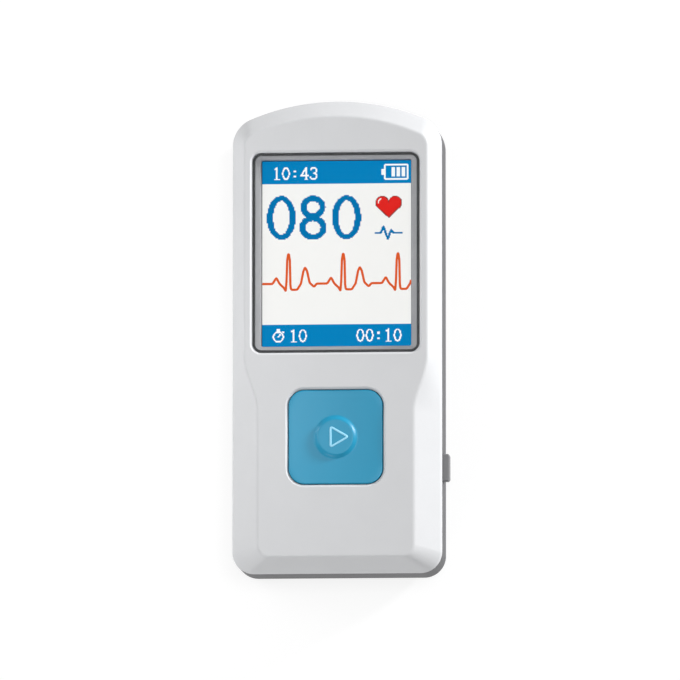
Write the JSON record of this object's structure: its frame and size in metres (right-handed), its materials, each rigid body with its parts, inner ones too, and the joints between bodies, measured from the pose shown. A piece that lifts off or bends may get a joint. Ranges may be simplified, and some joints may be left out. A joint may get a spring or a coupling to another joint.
{
  "type": "hand-held ecg monitor",
  "caption": "Palm-size heart monitor with an arched top, bevelled two-tone shell, colour screen, square blue play key and a small side key.",
  "frame": {"origin": "middle of the flat back, on which the monitor lies", "axes": "+Z out of the screen, +Y towards the arched top end, +X to the reader's right"},
  "size_m": [0.046, 0.1008, 0.0201],
  "materials": {
    "shell_white": "satin moulded ABS",
    "shell_grey": "fine-textured moulded ABS",
    "lens_clear": "clear hard-coated acrylic",
    "bezel_grey": "satin moulded ABS",
    "foam_dark": "closed-cell foam",
    "display_face": "display glass with its picture",
    "tray_white": "moulded polycarbonate",
    "tape_clear": "adhesive strip",
    "flex_orange": "polyimide film",
    "connector_ivory": "moulded nylon",
    "board_green": "glass-fibre board with solder mask",
    "chip_black": "moulded epoxy",
    "passive_tan": "fired ceramic",
    "metal_bright": "bright nickel plate",
    "electrode_steel": "brushed stainless steel",
    "pin_gold": "gold-plated brass",
    "cell_silver": "laminated foil pouch",
    "lead_skin": "silicone lead",
    "key_blue": "satin moulded ABS, coloured through",
    "side_key_grey": "satin moulded ABS",
    "plunger_cream": "moulded nylon"
  },
  "bodies": {
    "housing": {"front_shell": "shell_white", "rear_shell": "shell_grey", "screen_lens": "lens_clear", "screen_bezel": "bezel_grey", "display_gasket": "foam_dark", "display_glass": "display_face", "display_tray": "tray_white", "display_tape": "tape_clear", "display_flex": "flex_orange", "flex_connector": "connector_ivory", "main_board": "board_green", "processor": "chip_black", "ecg_front_end": "chip_black", "memory_chip": "chip_black", "charger_chip": "chip_black", "clock_crystal": "metal_bright", "board_passives": "passive_tan", "buzzer": "chip_black", "play_switch": "chip_black", "side_switch": "chip_black", "usb_socket": "metal_bright", "lead_socket": "chip_black", "cell": "cell_silver", "cell_pad": "foam_dark", "cell_leads": "lead_skin", "cell_plug": "connector_ivory", "left_electrode": "electrode_steel", "right_electrode": "electrode_steel", "upper_electrode": "electrode_steel", "contact_pins": "pin_gold", "case_screws": "metal_bright", "board_screws": "metal_bright"},
    "play_button": {"play_key": "key_blue", "play_plunger": "plunger_cream"},
    "side_button": {"side_key": "side_key_grey", "side_plunger": "plunger_cream"}
  },
  "joints": [
    {"name": "play_press", "type": "slide", "parent": "housing", "child": "play_button", "axis": [0, 0, -1], "range_m": [0, 0.0005], "stiffness_N_per_m": 2500, "springref_m": -0.0002},
    {"name": "side_press", "type": "slide", "parent": "housing", "child": "side_button", "axis": [-1, 0, 0], "range_m": [0, 0.0004], "stiffness_N_per_m": 2500, "springref_m": -0.0002}
  ]
}
